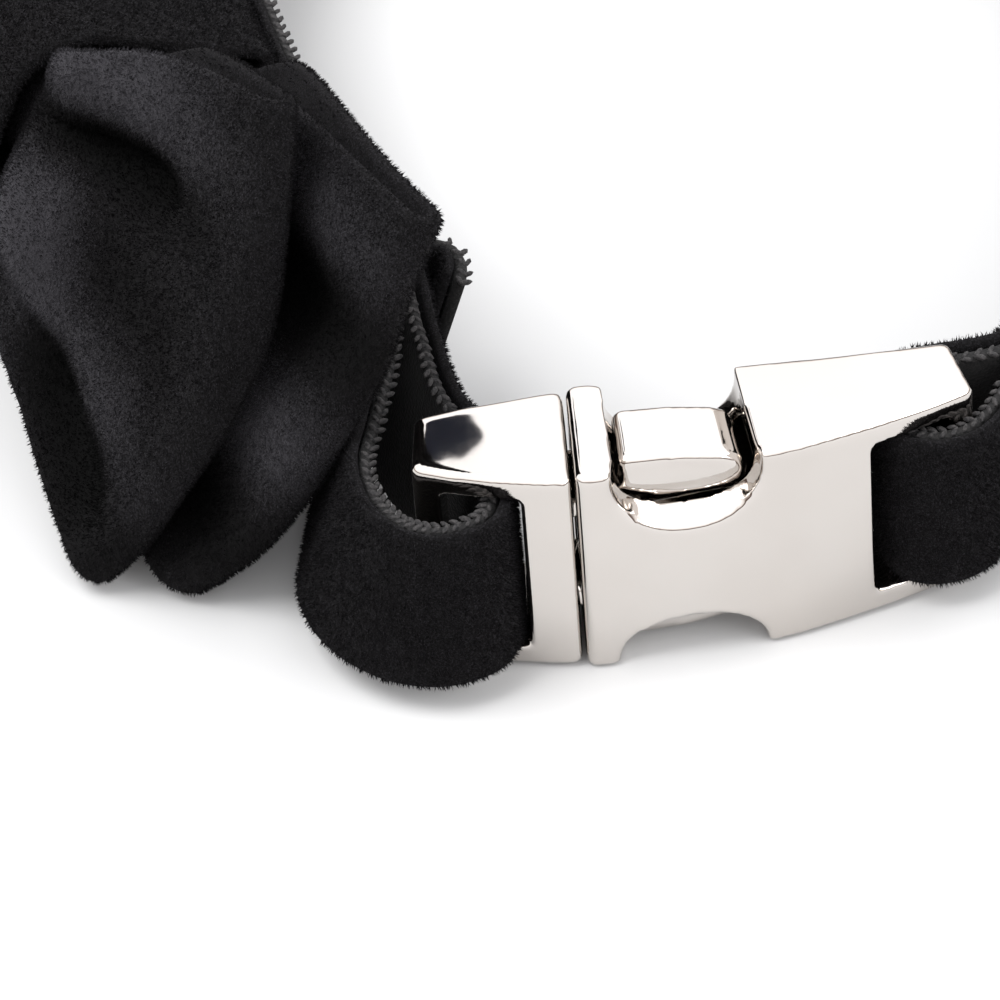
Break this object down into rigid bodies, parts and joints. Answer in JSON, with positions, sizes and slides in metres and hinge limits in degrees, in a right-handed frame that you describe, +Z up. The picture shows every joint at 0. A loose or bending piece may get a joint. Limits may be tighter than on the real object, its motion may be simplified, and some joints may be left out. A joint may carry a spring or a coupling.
{
  "type": "pet bow tie collar",
  "caption": "Pet neck band of velvet faced webbing with a curved metal side release buckle and a double velvet bow held by a knot band.",
  "frame": {"origin": "middle of the footprint, on the surface that the collar stands on", "axes": "+X along the buckle from its male half to its female half, +Y from the buckle to the back of the neck ring, +Z up"},
  "size_m": [0.158, 0.1448, 0.0578],
  "materials": {
    "polished_metal": "polished, slightly warm nickel plating",
    "black_webbing": "matt woven webbing with a corded edge",
    "black_velvet": "short pile velvet with a soft grey sheen"
  },
  "bodies": {
    "collar": {"buckle_male": "polished_metal", "buckle_female": "polished_metal", "collar_webbing": "black_webbing", "velvet_facing": "black_velvet", "bow_front": "black_velvet", "bow_back": "black_velvet", "bow_knot": "black_velvet"},
    "lever_top": {"release_lever_top": "polished_metal"},
    "lever_bottom": {"release_lever_bottom": "polished_metal"}
  },
  "joints": [
    {"name": "lever_top_press", "type": "hinge", "parent": "collar", "child": "lever_top", "pos_m": [-0.0016, -0.06242, 0.02058], "axis": [0.0992, 0.9951, 0], "range_deg": [0, 14], "stiffness_Nm_per_rad": 0.4},
    {"name": "lever_bottom_press", "type": "hinge", "parent": "collar", "child": "lever_bottom", "pos_m": [-0.0016, -0.06242, 0.00778], "axis": [-0.0992, -0.9951, 0], "range_deg": [0, 14], "stiffness_Nm_per_rad": 0.4}
  ]
}
